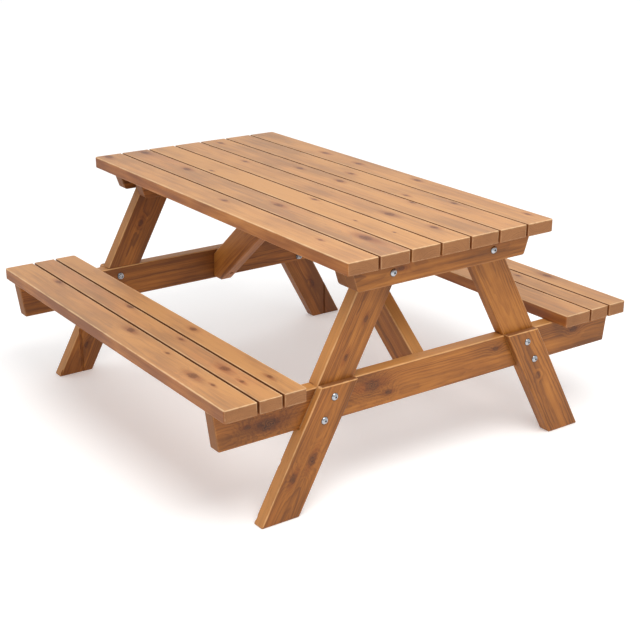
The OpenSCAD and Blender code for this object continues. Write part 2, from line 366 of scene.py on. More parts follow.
# Distances over which end grain, painted shade in a gap between planks, and worn edges fade
END_FADE = (-1.5 * MM, 0.5 * MM)
GAP_FADE = (0.1 * MM, 1.4 * MM)
WEAR_FADE = (0.8 * MM, 4.6 * MM)
SCUFF_SPREAD = 9 * MM

# How much fibres and a board's tone, partly painted shade, change the shade, and the shades that are
# plain and middling
FIBRE_SHADE = 0.6
TONE_SHADE = 0.7
BASE_SHADE = 0.36
MID_SHADE = 0.42

PINK_TINT = (0.95, 0.75, 0.80, 1.0)
YELLOW_TINT = (1.0, 1.0, 0.84, 1.0)
# Pale bare wood of worn edges, also the colour of their painted highlight
BARE_AND_HIGHLIT_WOOD = rgb(240, 206, 162)
WOOD_BUMP = 0.7 * MM


def board_limits(n):
    """The distance to the board's nearest edge, and masks of its ends and of the painted shade in
    gaps.
    """
    from_low, from_high = n.own("from_low"), n.own("from_high")
    along, across, through = n.split(n.vector("MINIMUM", from_low, from_high))
    # An edge is as near as the second nearest of the three pairs of faces
    least = n.math("MINIMUM", along, across)
    most = n.math("MAXIMUM", along, across)
    edge = n.math("MAXIMUM", least, n.math("MINIMUM", most, through))
    end_lead = n.math("SUBTRACT", along, n.math("MINIMUM", across, through))
    end = n.smooth(end_lead, *END_FADE, 1.0, 0.0)
    # Painted shade on the sides that face a gap between planks
    shaded_sides = []
    for in_gap, distances in zip(n.split(n.own("in_gap", "OBJECT")), (from_low, from_high)):
        near_side = n.smooth(n.split(distances)[1], *GAP_FADE, 1.0, 0.0)
        shaded_sides.append(n.times(in_gap, near_side))
    return edge, end, n.math("MAXIMUM", *shaded_sides)


def knots_of(n, u, v, w, placed):
    """The distances to the nearest knot's heart and halo, in knot radii, and the rings' swell."""
    wobble = n.times(n.centred(n.noise(placed, WOBBLE_SCALE, 4.0, 0.6)), KNOT_WOBBLE)
    hearts, halos, swells = [], [], []
    for index in range(KNOTS):
        knot_u, knot_v, size = n.split(n.own(f"knot_{index}", "OBJECT"))
        along = n.math("ADD", n.math("SUBTRACT", u, knot_u), n.times(w, KNOT_SLANT))
        offset = n.join(along, n.math("SUBTRACT", v, knot_v), 0.0)
        heart = n.vector("LENGTH", n.vector("MULTIPLY", offset, HEART_STRETCH))
        heart = n.math("ADD", n.math("DIVIDE", heart, size), wobble)
        halo = n.vector("LENGTH", n.vector("MULTIPLY", offset, HALO_STRETCH))
        power = n.times(n.times(heart, heart), -SWELL_FALL)
        hearts.append(heart)
        halos.append(n.math("DIVIDE", halo, size))
        swells.append(n.times(n.math("POWER", EULER, power), size))
    return n.fold("MINIMUM", hearts), n.fold("MINIMUM", halos), n.fold("ADD", swells)


def late_wood(n, u, v, w, placed, swell):
    """Growth rings round the pith, waved along the board and swollen round the knots."""
    wave = n.centred(n.noise(placed, WAVE_SCALE, 2.0, 0.45))
    ripple = n.centred(n.noise(placed, RIPPLE_SCALE, 3.0, 0.55))
    slant, pith_v, pith_w = n.split(n.own("pith", "OBJECT"))
    side = n.math("SUBTRACT", v, pith_v)
    depth = n.math("ADD", n.math("SUBTRACT", w, pith_w), n.times(u, slant))
    radius = n.vector("LENGTH", n.join(side, depth, 0.0))
    radius = n.layers(radius, (wave, WAVE_SIZE), (ripple, RIPPLE_SIZE), (swell, SWELL_SHARE))
    pace = n.noise(n.join(radius, 0.0, 0.0), PACE_SCALE, 1.0)
    turns = n.layers(n.times(radius, RINGS), (pace, PACE_SIZE))
    # Late wood comes slowly and ends sharply, more strongly in some years than in others
    phase = n.math("FRACT", turns)
    late = n.times(n.smooth(phase, 0.3, 0.9), n.smooth(phase, 0.9, 1.0, 1.0, 0.0))
    per_ring = n.add("TexWhiteNoise", noise_dimensions="1D")
    n.put(n.math("FLOOR", turns), per_ring.inputs["W"])
    return n.times(late, n.math("MULTIPLY_ADD", per_ring.outputs[0], 0.75, 0.25))


def wood(
    name, light, mid, dark, sheen_colour, end_light, end_dark, knot_colour, halo_colour,
    contrast, clouds, streaks, sheen_share, side_shade, wear_and_highlight_share, knot_share,
):
    """Stained softwood. A board's own rings, tone, painted shade and knots come from its properties.

    contrast, clouds and streaks are how much rings, slow changes and streaks darken it, sheen_share
    how much painted sheen and top light pale upward faces, wear_and_highlight_share how pale worn
    edges grow where they face up, partly as a painted highlight, side_shade how much painted shade
    darkens upright faces, and knot_share how dark the knots' hearts are."""
    material = bpy.data.materials.new(name)
    n = Nodes(material)
    grain = n.own("grain")
    u, v, w = n.split(grain)
    tone_and_shade = n.own("tone_and_shade", "OBJECT", "Fac")
    warmth = n.own("warmth", "OBJECT", "Fac")
    figure = n.own("figure", "OBJECT", "Fac")
    placed = n.vector("ADD", grain, n.own("seed", "OBJECT"))
    upward = n.split(n.add("NewGeometry").outputs["Normal"])[2]
    edge, end, gap = board_limits(n)
    core, halo, swell = knots_of(n, u, v, w, placed)
    late = late_wood(n, u, v, w, placed, swell)

    # Fibres, pores and slow changes of tone along the board, and painted shade on upright faces
    fibre = n.noise(placed, FIBRE_SCALE, 3.0, 0.6)
    streak = n.noise(placed, STREAK_SCALE, 3.0, 0.6)
    cloud = n.noise(placed, CLOUD_SCALE, 3.0, 0.55)
    blush = n.noise(n.vector("ADD", placed, BLUSH_OFFSET), BLUSH_SCALE)
    pores = n.noise(placed, PORE_SCALE)
    # Painted shade: upright faces darker than upward ones
    upright = n.smooth(n.math("ABSOLUTE", upward), 0.25, 0.8, 1.0, 0.0)
    shade = n.layers(
        n.times(late, n.times(figure, contrast)), (n.centred(streak), streaks),
        (n.centred(fibre), FIBRE_SHADE), (n.centred(cloud), clouds), (upright, side_shade),
    )
    # A board's tone, darker on most of the back frame as painted shade
    shade = n.math("SUBTRACT", shade, n.times(tone_and_shade, TONE_SHADE))
    shade = n.math("ADD", shade, BASE_SHADE, clamp=True)
    ramp = n.add("ValToRGB")
    ramp.color_ramp.interpolation = "B_SPLINE"
    ramp.color_ramp.elements[0].color = light
    ramp.color_ramp.elements[1].color = dark
    ramp.color_ramp.elements.new(MID_SHADE).color = mid
    n.put(shade, ramp.inputs[0])
    colour = ramp.outputs[0]

    # Pinker and yellower stretches
    pink = n.times(n.smooth(blush, 0.43, 0.66), 0.6)
    pink = n.times(pink, n.math("SUBTRACT", 0.45, warmth))
    colour = n.mix(n.math("MAXIMUM", pink, 0.0), colour, PINK_TINT, "MULTIPLY")
    yellow = n.times(n.math("MAXIMUM", warmth, 0.0), 0.5)
    colour = n.mix(yellow, colour, YELLOW_TINT, "MULTIPLY")

    # Painted sheen and top light: upward faces painted paler
    painted_sheen = n.times(n.smooth(upward, 0.0, 0.7), sheen_share)
    colour = n.mix(painted_sheen, colour, sheen_colour)

    # Short dark checks and specks along the grain, in patches
    checks = n.smooth(n.noise(placed, CHECK_SCALE), 0.62, 0.74)
    checks = n.times(checks, n.smooth(n.noise(placed, CHECK_PATCH_SCALE), 0.46, 0.66))
    colour = n.mix(n.times(checks, 0.42), colour, dark)

    # Knots: a stained halo drawn out along the grain, a dark heart and a darker rim
    cloudy = n.layers(halo, (n.centred(streak), 1.7))
    aura = n.smooth(cloudy, 0.2, 1.15, 1.0, 0.0)
    colour = n.mix(n.times(aura, 0.62), colour, halo_colour, "MULTIPLY")
    heart = n.smooth(core, 0.28, 0.72, 1.0, 0.0)
    knot_rings = n.smooth(n.math("FRACT", n.times(core, 4.2)), 0.2, 0.9)
    knot_rings = n.times(knot_rings, n.smooth(pores, 0.3, 0.6, 0.6, 1.0))
    heart_colour = n.mix(n.times(knot_rings, 0.5), knot_colour, mid)
    colour = n.mix(n.times(heart, knot_share), colour, heart_colour)
    rim = n.times(n.smooth(core, 0.4, 0.6), n.smooth(core, 0.6, 0.95, 1.0, 0.0))
    colour = n.mix(n.times(rim, 0.42), colour, knot_colour)

    # End grain: rings as arcs, thirstier and darker
    specks = n.times(n.noise(placed, END_SPECK_SCALE, 3.0, 0.6), 0.5)
    end_shade = n.math("MULTIPLY_ADD", late, 0.7, specks, clamp=True)
    end_wood = n.mix(end_shade, end_light, end_dark)
    end_wood = n.mix(n.times(n.smooth(cloud, 0.4, 0.7), 0.35), end_wood, end_dark)
    colour = n.mix(end, colour, end_wood)

    # Edges worn pale with a painted highlight facing up, and painted shade in gaps between planks
    scuffs = n.centred(n.noise(placed, SCUFF_SCALE, 3.0, 0.65))
    wear = n.smooth(n.layers(edge, (scuffs, SCUFF_SPREAD)), *WEAR_FADE, 1.0, 0.0)
    wear_and_highlight = n.times(wear, n.smooth(upward, -0.2, 0.4, 0.05, wear_and_highlight_share))
    colour = n.mix(wear_and_highlight, colour, n.mix(0.5, sheen_colour, BARE_AND_HIGHLIT_WOOD))
    # Painted shade on the sides in the gaps between planks
    colour = n.mix(n.times(gap, 0.72), colour, dark)

    # Height: raised late wood, fine fibres and slightly proud knots
    height = n.layers(n.times(fibre, 0.32), (late, 0.30), (pores, 0.2), (heart, 0.25), (cloud, 0.5))
    normal = n.bump(height, WOOD_BUMP, 0.5)

    # Gloss: fibres, end grain and worn edges duller, late wood glossier
    rough = n.layers(0.44, (fibre, 0.16), (late, -0.05), (end, 0.14), (wear, 0.05))
    n.principled(
        Base_Color=colour, Roughness=rough, Normal=normal,
        IOR=1.45, Specular_IOR_Level=0.36, Coat_Weight=0.04, Coat_Roughness=0.34,
    )
    return material


# Near black for the painted shade round steel rims and in recesses
SHADE_COLOUR = (0.03, 0.027, 0.025, 1.0)
SCRATCH_SCALE = (2600.0, 300.0, 500.0)
METAL_SPECK_SCALE = 900.0
METAL_STAIN_SCALE = 220.0


def steel(name, colour, rough, bump_size, stain_shade, rim_shade, recess_shade):
    """Plated steel with fine scratches, dull stains, and painted shade round its rim and in its
    recess.

    rim_shade and recess_shade are the radii between which the painted shade comes and goes."""
    material = bpy.data.materials.new(name)
    n = Nodes(material)
    place = n.own("grain")
    fine = n.noise(place, METAL_SPECK_SCALE, 3.0, 0.6)
    stain = n.noise(place, METAL_STAIN_SCALE, 4.0, 0.65)
    scratch = n.noise(place, SCRATCH_SCALE, 2.0, 0.6)
    stained = tuple(c * stain_shade for c in colour[:3]) + (1.0,)
    tint = n.mix(n.smooth(stain, 0.45, 0.75), colour, stained)
    _, across, up = n.split(place)
    radius = n.vector("LENGTH", n.join(across, up, 0.0))
    # Painted shade: a dark ring at the rim and a dark recess
    painted_shade = n.math("MAXIMUM", n.smooth(radius, *rim_shade), n.smooth(radius, *recess_shade, 1.0, 0.0))
    tint = n.mix(n.times(painted_shade, 0.85), tint, SHADE_COLOUR)
    roughness = n.layers(rough, (fine, 0.18), (n.smooth(stain, 0.5, 0.8), 0.2))
    normal = n.bump(n.layers(fine, (scratch, 0.5)), bump_size, 0.35)
    n.principled(Base_Color=tint, Roughness=roughness, Normal=normal, Metallic=1.0)
    return material


plank_wood = wood(
    "stained_planks",
    light=rgb(188, 125, 62), mid=rgb(166, 103, 47), dark=rgb(120, 66, 30),
    sheen_colour=rgb(220, 184, 140), end_light=rgb(157, 107, 64), end_dark=rgb(114, 71, 40),
    knot_colour=rgb(66, 38, 30), halo_colour=rgb(188, 154, 158),
    contrast=0.34, clouds=2.5, streaks=1.4, sheen_share=0.28, side_shade=0.30, wear_and_highlight_share=0.58,
    knot_share=0.66,
)
frame_wood = wood(
    "stained_frame",
    light=rgb(174, 112, 47), mid=rgb(151, 91, 34), dark=rgb(98, 55, 21),
    sheen_colour=rgb(228, 168, 100), end_light=rgb(146, 94, 50), end_dark=rgb(104, 62, 32),
    knot_colour=rgb(56, 31, 21), halo_colour=rgb(186, 148, 136),
    contrast=0.50, clouds=1.6, streaks=1.4, sheen_share=0.44, side_shade=0.08, wear_and_highlight_share=0.42,
    knot_share=0.82,
)
bright_steel = steel(
    "plated_steel", rgb(178, 181, 186), 0.14, 0.04 * MM, 0.72,
    rim_shade=(9.6 * MM, 11.4 * MM), recess_shade=(2.2 * MM, 3.6 * MM),
)
screw_steel = steel(
    "dull_steel", rgb(150, 146, 138), 0.32, 0.06 * MM, 0.6,
    rim_shade=(4 * MM, 5 * MM), recess_shade=(1 * MM, 2.4 * MM),
)

# ---- Boards ----

# Each board's tone (-1 darker to 1 lighter), warmth (-1 pinker to 1 yellower), how strongly its rings
# show, and knots as (distance along from the middle, distance across, radius) in millimetres. The tone
# is partly painted shade: most boards of the back frame, seen in shade under the tabletop, are given
# darker tones. Along is +X on planks, braces and blocks, +Y on bearers, cleats and the batten, and up
# on legs and struts. Across is +Y on planks, legs and struts, and up on the rest.
BOARDS = {
    "top_plank_1": (0.1, 0.1, 0.7, [(-715, -9, 17), (26, 15, 11), (540, 13, 7)]),
    "top_plank_2": (-0.3, -0.9, 0.8, [(-700, 18, 15), (-397, 17, 13), (167, 14, 15), (600, 20, 20)]),
    "top_plank_3": (0.7, 0.7, 0.9, [(-330, -34, 7), (176, 33, 9), (440, -6, 5), (600, 12, 5)]),
    "top_plank_4": (0.15, 0.0, 0.7, [(-380, 22, 9), (442, 11, 15), (626, 29, 12)]),
    "top_plank_5": (0.05, -0.2, 0.8, [(-682, -2, 12), (-188, 13, 12), (34, 20, 13), (377, 44, 10)]),
    "top_plank_6": (0.0, 0.1, 0.7, [(-28, 2, 11), (459, 33, 9), (300, -26, 8)]),
    "top_plank_7": (-0.1, 0.1, 0.7, [(-328, 3, 12), (-128, 1, 11), (169, 17, 11), (675, 22, 8)]),
    "left_seat_outer_plank": (
        0.0, -0.3, 0.8, [(-475, 38, 13), (68, 26, 15), (293, 26, 7), (481, 3, 17), (566, 14, 7)],
    ),
    "left_seat_middle_plank": (
        0.0, -0.5, 0.7, [(-474, 40, 12), (-119, 29, 13), (220, 18, 8), (487, 6, 16), (592, -3, 8)],
    ),
    "left_seat_inner_plank": (0.3, 0.5, 0.7, [(168, 10, 13), (607, -2, 10)]),
    "right_seat_inner_plank": (0.1, -0.1, 0.7, [(-420, 18, 13), (150, -20, 9)]),
    "right_seat_middle_plank": (-0.1, 0.1, 0.8, [(-260, -8, 10), (350, 12, 9)]),
    "right_seat_outer_plank": (0.1, 0.0, 0.7, [(405, 12, 14), (-120, -10, 10)]),
    "front_top_bearer": (0.05, 0.3, 0.9, [(-150, 8, 10)]),
    "back_top_bearer": (-0.4, 0.0, 0.8, [(120, -6, 9)]),
    "front_inner_cleat": (-0.2, 0.0, 0.8, [(-90, 12, 10)]),
    "back_inner_cleat": (-0.4, 0.0, 0.8, [(160, 0, 11)]),
    "front_seat_bearer": (
        -0.12, 0.2, 1.0,
        [(-560, -12, 26), (-625, -4, 9), (-210, 14, 22), (-150, -20, 10), (260, 20, 9), (590, 12, 12)],
    ),
    "back_seat_bearer": (-0.4, 0.0, 0.9, [(-430, 16, 15), (80, -18, 12), (470, 10, 14)]),
    "front_left_strut": (0.1, 0.0, 0.9, [(-60, 0, 9), (60, 12, 8)]),
    "front_right_strut": (0.3, 0.4, 1.3, []),
    "back_left_strut": (-0.4, 0.0, 1.1, [(30, -6, 10)]),
    "back_right_strut": (-0.4, 0.0, 0.9, [(-40, 10, 9)]),
    "front_left_leg": (-0.1, 0.1, 0.8, [(-22, 14, 16), (-88, -22, 13)]),
    "front_right_leg": (0.0, 0.4, 1.3, [(30, -8, 7)]),
    "back_left_leg": (-0.4, 0.0, 1.0, [(-20, 6, 12), (-110, -8, 8)]),
    "back_right_leg": (-0.4, 0.0, 0.9, [(-60, 8, 10)]),
    "centre_batten": (0.0, 0.0, 0.8, [(-140, 4, 8)]),
    "front_brace": (0.0, -0.1, 0.9, [(-120, -12, 12)]),
    "back_brace": (0.35, -0.1, 0.9, [(100, 14, 14)]),
    "front_brace_block": (0.0, 0.1, 0.8, []),
    "back_brace_block": (-0.1, 0.0, 0.8, []),
}

# The rings' middle: how much it slants along a board, how far aside and how deep it may lie, in metres
PITH_SLANT, PITH_SIDE, PITH_DEPTH = 0.022, 0.03, (0.035, 0.11)
# How far from the middle of the noises a board may lie, in metres
SEED_REACH = 40


def dress_board(piece, node, material, centre, along, across, ends, sides, faces, in_gap=(0, 0)):
    """Writes the grain and the distances to the board's faces, and sets its own look.

    ends, sides and faces each hold two planes, as a point and the direction into the board. in_gap
    says of each side whether it faces a gap between planks."""
    tone_and_shade, warmth, figure, knots = BOARDS[node]
    random = Random(node)
    through = along.cross(across)

    def grain(co):
        local = co - centre
        return local.dot(along), local.dot(across), local.dot(through)

    def distances(which):
        planes = [pair[which] for pair in (ends, sides, faces)]
        return lambda co: [(co - point).dot(inward) for point, inward in planes]

    write_vectors(piece, "grain", grain)
    write_vectors(piece, "from_low", distances(0))
    write_vectors(piece, "from_high", distances(1))
    piece["seed"] = [random.uniform(-SEED_REACH, SEED_REACH) for _ in range(3)]
    piece["tone_and_shade"] = tone_and_shade
    piece["warmth"] = warmth
    piece["figure"] = figure
    piece["in_gap"] = [float(in_gap[0]), float(in_gap[1]), 0.0]
    flip = random.choice([-1, 1])
    piece["pith"] = [
        random.uniform(-PITH_SLANT, PITH_SLANT),
        random.uniform(-PITH_SIDE, PITH_SIDE),
        flip * random.uniform(*PITH_DEPTH),
    ]
    for index in range(KNOTS):
        if index < len(knots):
            piece[f"knot_{index}"] = [size * MM for size in knots[index]]
        else:
            piece[f"knot_{index}"] = NO_KNOT
    piece.data.materials.clear()
    piece.data.materials.append(material)
    finish_shading(piece)
    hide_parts(node)
    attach(piece, "root")


def round_by_weight(piece, radii, segments):
    """Rounds each edge of the piece by its own radius, as radii(edge) gives it, 0 for none."""
    mesh = bmesh.new()
    mesh.from_mesh(piece.data)
    widths = [radii(edge) for edge in mesh.edges]
    mesh.free()
    most = max(widths)
    layer = piece.data.attributes.new("bevel_weight_edge", "FLOAT", "EDGE")
    layer.data.foreach_set("value", [width / most for width in widths])
    rounding = piece.modifiers.new("rounding", "BEVEL")
    rounding.limit_method = "WEIGHT"
    rounding.width = most
    rounding.segments = segments
    settle(piece)
    layer = piece.data.attributes.get("bevel_weight_edge")
    if layer:
        piece.data.attributes.remove(layer)


# The planks at the edges of the tabletop and the benches, and which of their sides faces out
OUTER_SIDE = {
    "top_plank_1": -1, "left_seat_outer_plank": -1, "right_seat_inner_plank": -1,
    "top_plank_7": 1, "left_seat_inner_plank": 1, "right_seat_outer_plank": 1,
}
# Radii of a plank's corners as seen from above, and of its edges: outer, beside a gap, and at the ends
OUTER_CORNER, GAP_CORNER = 8 * MM, 2.5 * MM
OUTER_EDGE, GAP_EDGE, END_EDGE = 6.2 * MM, 3.0 * MM, 3.2 * MM
# How far a plank's ends may be out of line, in millimetres
PLANK_SLIP = 0.8


def plank(node):
    """A lengthwise plank, rounded along its edges, with eased ends and softened corners."""
    low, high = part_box(node)
    random = Random(node + "_shape")
    slip = random.uniform(-PLANK_SLIP, PLANK_SLIP) * MM
    low, high = low + X * slip, high + X * slip
    section = ((low.y, low.z), (high.y, low.z), (high.y, high.z), (low.y, high.z))
    mesh = prism([(low.x, y, z) for y, z in section], X * (high.x - low.x))
    outer_side = OUTER_SIDE.get(node)
    centre = Vector(((low.x + high.x) / 2, (low.y + high.y) / 2, (low.z + high.z) / 2))
    upright = points_along(Z)
    for side in (-1, 1):
        round_edges(
            mesh, OUTER_CORNER if side == outer_side else GAP_CORNER, 5,
            lambda e, side=side: upright(e) and (e.verts[0].co.y - centre.y) * side > 0,
        )
    piece = to_object("wood_" + node, mesh)

    def radii(edge):
        """The radius of an edge between the top or bottom and a side, an end or a rounded corner."""
        flat = [abs(face.normal.z) > 0.9 for face in edge.link_faces]
        if all(flat) or not any(flat):
            return 0.0
        start, stop = (vert.co for vert in edge.verts)
        side = 1 if (start.y + stop.y) / 2 > centre.y else -1
        outer = side == outer_side
        lengthwise = abs(stop.x - start.x) > abs(stop.y - start.y) * 3
        at_corner = abs(start.y - centre.y) > (high.y - low.y) * 0.4
        if outer and (lengthwise or at_corner):
            return OUTER_EDGE
        return GAP_EDGE if lengthwise else END_EDGE

    round_by_weight(piece, radii, 4)
    dress_board(
        piece, node, plank_wood, centre, X, Y,
        ((low, X), (high, -X)), ((low, Y), (high, -Y)), ((low, Z), (high, -Z)),
        (outer_side != -1, outer_side != 1),
    )


for number in range(1, 8):
    plank(f"top_plank_{number}")
for side in ("left", "right"):
    for place in ("outer", "middle", "inner"):
        plank(f"{side}_seat_{place}_plank")

# Radii of the frame's bores and screw holes, and the height of a screw's head, as the frame cuts them
BOLT_BORE = 5.5 * MM
SCREW_PILOT = 2.6 * MM
SCREW_RECESS = 5.5 * MM
SCREW_HEAD_H = 4 * MM
# A screw's hole runs past its tip by this much, and a brace's counterbore opens through its side
PILOT_SPARE = 0.4 * MM
BRACE_COUNTERBORE = 0.25
# Cutters stand out of what they cut by this much, and boxes that overlap by less only touch
OVER = 2 * MM
TOUCH = 1e-5
BOLT_GROUPS = ("seat_joint_bolts", "top_joint_bolts")
SCREW_GROUPS = ("tabletop_screws", "bench_screws", "brace_screws")
SCREWS = [box for group in SCREW_GROUPS for box in solids(group)]
BOLTS = [box for group in BOLT_GROUPS for box in solids(group)]


def longest_axis(box):
    size = box[1] - box[0]
    return max(range(3), key=lambda i: size[i])


def overlap(box, low, high):
    return all(box[0][i] < high[i] - TOUCH and box[1][i] > low[i] + TOUCH for i in range(3))


def screw_run(box):
    """A screw's head end, its tip and its direction."""
    axis = longest_axis(box)
    mid = (box[0] + box[1]) / 2
    head, tip = mid.copy(), mid.copy()
    head[axis], tip[axis] = box[0][axis], box[1][axis]
    # Upright screws point up; those along the table point to its end; those across point to the brace
    if axis == 0 and mid.x < 0:
        head, tip = tip, head
    if axis == 1:
        brace = "front_brace" if mid.x > 0 else "back_brace"
        if middle(brace).y < mid.y:
            head, tip = tip, head
    return head, tip, (tip - head).normalized()


def fixing_cutters(node):
    """The bolt bores and screw holes that pass through a board, or None."""
    low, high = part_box(node)
    mesh = bmesh.new()
    for box in BOLTS:
        if overlap(box, low, high):
            mid = (box[0] + box[1]) / 2
            start, end = mid.copy(), mid.copy()
            start.x, end.x = low.x - OVER, high.x + OVER
            cylinder(mesh, start, end, BOLT_BORE)
    for box in SCREWS:
        if not overlap(box, low, high):
            continue
        head, tip, run = screw_run(box)
        axis = longest_axis(box)
        cylinder(mesh, head - run * OVER, tip + run * PILOT_SPARE, SCREW_PILOT, 20)
        seat = head + run * SCREW_HEAD_H
        if low[axis] < seat[axis] < high[axis]:
            start = seat.copy()
            start[axis] = low[axis] - OVER if run[axis] > 0 else high[axis] + OVER
            if node.endswith("brace") and axis == 0:
                start = seat - run * BRACE_COUNTERBORE
            cylinder(mesh, start, seat, SCREW_RECESS, 28)
    if not mesh.verts:
        mesh.free()
        return None
    return mesh


# An outline goes straight on where the sine of its turn is below this
STRAIGHT = 0.02


def outline_of(node, normal):
    """The outline of a board as seen along one axis, as 3D points on its low face."""
    axes = [i for i in range(3) if i != normal]
    low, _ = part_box(node)
    flat = [Vector((co[axes[0]], co[axes[1]])) for co in corners(node)]
    hull = [flat[i] for i in convex_hull_2d(flat)]
    kept = []
    for i, point in enumerate(hull):
        before = point - hull[i - 1]
        after = hull[(i + 1) % len(hull)] - point
        if before.length < TOUCH:
            continue
        if after.length < TOUCH or abs(before.normalized().cross(after.normalized())) > STRAIGHT:
            kept.append(point)
    points = []
    for point in kept:
        place = Vector((0, 0, 0))
        place[normal], place[axes[0]], place[axes[1]] = low[normal], point[0], point[1]
        points.append(place)
    return points


def sign_up(vector):
    """The vector or its opposite, whichever has a positive largest part."""
    part = max(vector, key=abs)
    return vector if part > 0 else -vector


# Radii of the frame boards' edges, and of the rounded corners of bearers and cleats
FRAME_EDGE = 4 * MM
HALVED_EDGE = 4.6 * MM
BEARER_CORNER = 7 * MM
CLEAT_CORNER = 12 * MM


def flat_board(node, normal, radius=FRAME_EDGE, cutters=None, corner=None):
    """A board with a convex outline, of even thickness along the axis with index normal."""
    low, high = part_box(node)
    points = outline_of(node, normal)
    out = (X, Y, Z)[normal]
    mesh = prism(points, out * (high[normal] - low[normal]))
    if corner:
        round_edges(mesh, corner, 7, points_along(out))
    round_edges(mesh, radius, 4)
    count = len(points)
    sides = []
    for i in range(count):
        start, stop = points[i], points[(i + 1) % count]
        sides.append(((stop - start).length, (start + stop) / 2, (stop - start).normalized()))
    centre = sum(points, Vector()) / count
    long_sides = sorted(sides, key=lambda side: -side[0])[:2]
    along = sign_up(long_sides[0][2])
    across = sign_up(out.cross(along))

    def plane(side):
        """The middle of a side of the outline, and the direction into the board."""
        _, place, direction = side
        inward = out.cross(direction)
        if (centre - place).dot(inward) < 0:
            inward = -inward
        return place, inward

    short_sides = [side for side in sides if side not in long_sides]
    ends = [pick(short_sides, key=lambda side: side[1].dot(along)) for pick in (min, max)]
    piece = to_object("wood_" + node, mesh)
    for cutter in (cutters, fixing_cutters(node)):
        if cutter is not None:
            change_by(piece, "DIFFERENCE", cutter)
    dress_board(
        piece, node, frame_wood, (low + high) / 2, along, across,
        [plane(side) for side in ends], [plane(side) for side in long_sides],
        ((low, out), (high, -out)),
    )


def lean_of(node):
    """How far a leg or strut leans towards +Y for each metre up, and the two ends of its foot's y."""
    low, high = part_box(node)
    foot, top = reach(node, "y", z=low.z), reach(node, "y", z=high.z)
    return (sum(top) - sum(foot)) / 2 / (high.z - low.z), foot


def leaning_board(node):
    """A leg or strut: a halved board that leans outwards, with level ends."""
    low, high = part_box(node)
    outward = 1 if middle(node).x > 0 else -1
    outer, back = (high.x, low.x) if outward > 0 else (low.x, high.x)
    is_leg = "leg" in node
    full_end, thin_end = (low.z, high.z) if is_leg else (high.z, low.z)
    inner = reach(node, "x", z=thin_end)[0 if outward > 0 else 1]
    shoulder = reach(node, "z", x=back)[1 if is_leg else 0]
    lean, foot_y = lean_of(node)
    half = (foot_y[1] - foot_y[0]) / 2

    def mid_y(z):
        return sum(foot_y) / 2 + (z - low.z) * lean

    profile = [
        (outer, full_end), (outer, thin_end), (inner, thin_end),
        (inner, shoulder), (back, shoulder), (back, full_end),
    ]
    mesh = prism([(x, mid_y(z) - half, z) for x, z in profile], Y * 2 * half)
    round_edges(mesh, HALVED_EDGE, 4)
    along = Vector((0, lean, 1)).normalized()
    across = Vector((0, along.z, -along.y))
    centre = Vector(((low.x + high.x) / 2, mid_y((low.z + high.z) / 2), (low.z + high.z) / 2))
    foot = Vector((centre.x, mid_y(low.z), low.z))
    top = Vector((centre.x, mid_y(high.z), high.z))
    piece = to_object("wood_" + node, mesh)
    change_by(piece, "DIFFERENCE", fixing_cutters(node))
    dress_board(
        piece, node, frame_wood, centre, along, across,
        ((foot, Z), (top, -Z)),
        ((foot - Y * half, across), (foot + Y * half, -across)),
        ((low, X), (high, -X)),
    )


# Clearance of a strut's tongue in its housing, as the frame cuts it
HOUSING_GAP = 0.3 * MM


def housings(frame_end):
    """The shapes that the struts' tongues leave in a seat bearer's outer face."""
    mesh = bmesh.new()
    bearer_low, bearer_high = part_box(f"{frame_end}_seat_bearer")
    levels = (bearer_low.z - OVER, bearer_high.z + OVER)
    for side in ("left", "right"):
        node = f"{frame_end}_{side}_strut"
        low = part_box(node)[0]
        tongue = reach(node, "x", z=low.z)
        lean, foot_y = lean_of(node)
        if frame_end == "front":
            inner, outer = tongue[0], bearer_high.x + OVER
        else:
            inner, outer = tongue[1], bearer_low.x - OVER
        edges = []
        for x in (inner, outer):
            for z in levels:
                shift = (z - low.z) * lean
                walls = (foot_y[0] - HOUSING_GAP, foot_y[1] + HOUSING_GAP)
                edges.append([mesh.verts.new((x, y + shift, z)) for y in walls])
        a, b, c, d = edges
        for loop in (
            (a[0], a[1], b[1], b[0]), (c[0], d[0], d[1], c[1]), (a[0], b[0], d[0], c[0]),
            (a[1], c[1], d[1], b[1]), (a[0], c[0], c[1], a[1]), (b[0], b[1], d[1], d[0]),
        ):
            mesh.faces.new(loop)
    bmesh.ops.recalc_face_normals(mesh, faces=mesh.faces)
    return mesh


for frame_end in ("front", "back"):
    flat_board(f"{frame_end}_top_bearer", 0, corner=BEARER_CORNER)
    flat_board(f"{frame_end}_inner_cleat", 0, corner=CLEAT_CORNER)
    flat_board(f"{frame_end}_seat_bearer", 0, HALVED_EDGE, housings(frame_end))
    flat_board(f"{frame_end}_brace", 1)
    flat_board(f"{frame_end}_brace_block", 1)
    for side in ("left", "right"):
        leaning_board(f"{frame_end}_{side}_strut")
        leaning_board(f"{frame_end}_{side}_leg")
flat_board("centre_batten", 0)

# ---- Bolts, washers, nuts and screws ----


def lathe(profile, sides, change=lambda distance, turn: 0.0):
    """A closed solid turned round X: (distance along X, radius) from one end to the other."""
    mesh = bmesh.new()
    rings = []
    for distance, radius in profile:
        if radius < TINY:
            rings.append([mesh.verts.new((distance, 0, 0))])
            continue
        ring = []
        for i in range(sides):
            turn = i / sides
            r = radius + change(distance, turn)
            angle = math.tau * turn
            ring.append(mesh.verts.new((distance, r * math.cos(angle), r * math.sin(angle))))
        rings.append(ring)
    for first, second in zip(rings, rings[1:]):
        for i in range(sides):
            j = (i + 1) % sides
            # A ring of one vertex gives the same vertex twice, so the face is a triangle
            loop = [first[i % len(first)], first[j % len(first)]]
            loop += [second[j % len(second)], second[i % len(second)]]
            unique = list(dict.fromkeys(loop))
            if len(unique) > 2:
                mesh.faces.new(unique)
    bmesh.ops.recalc_face_normals(mesh, faces=mesh.faces)
    return mesh


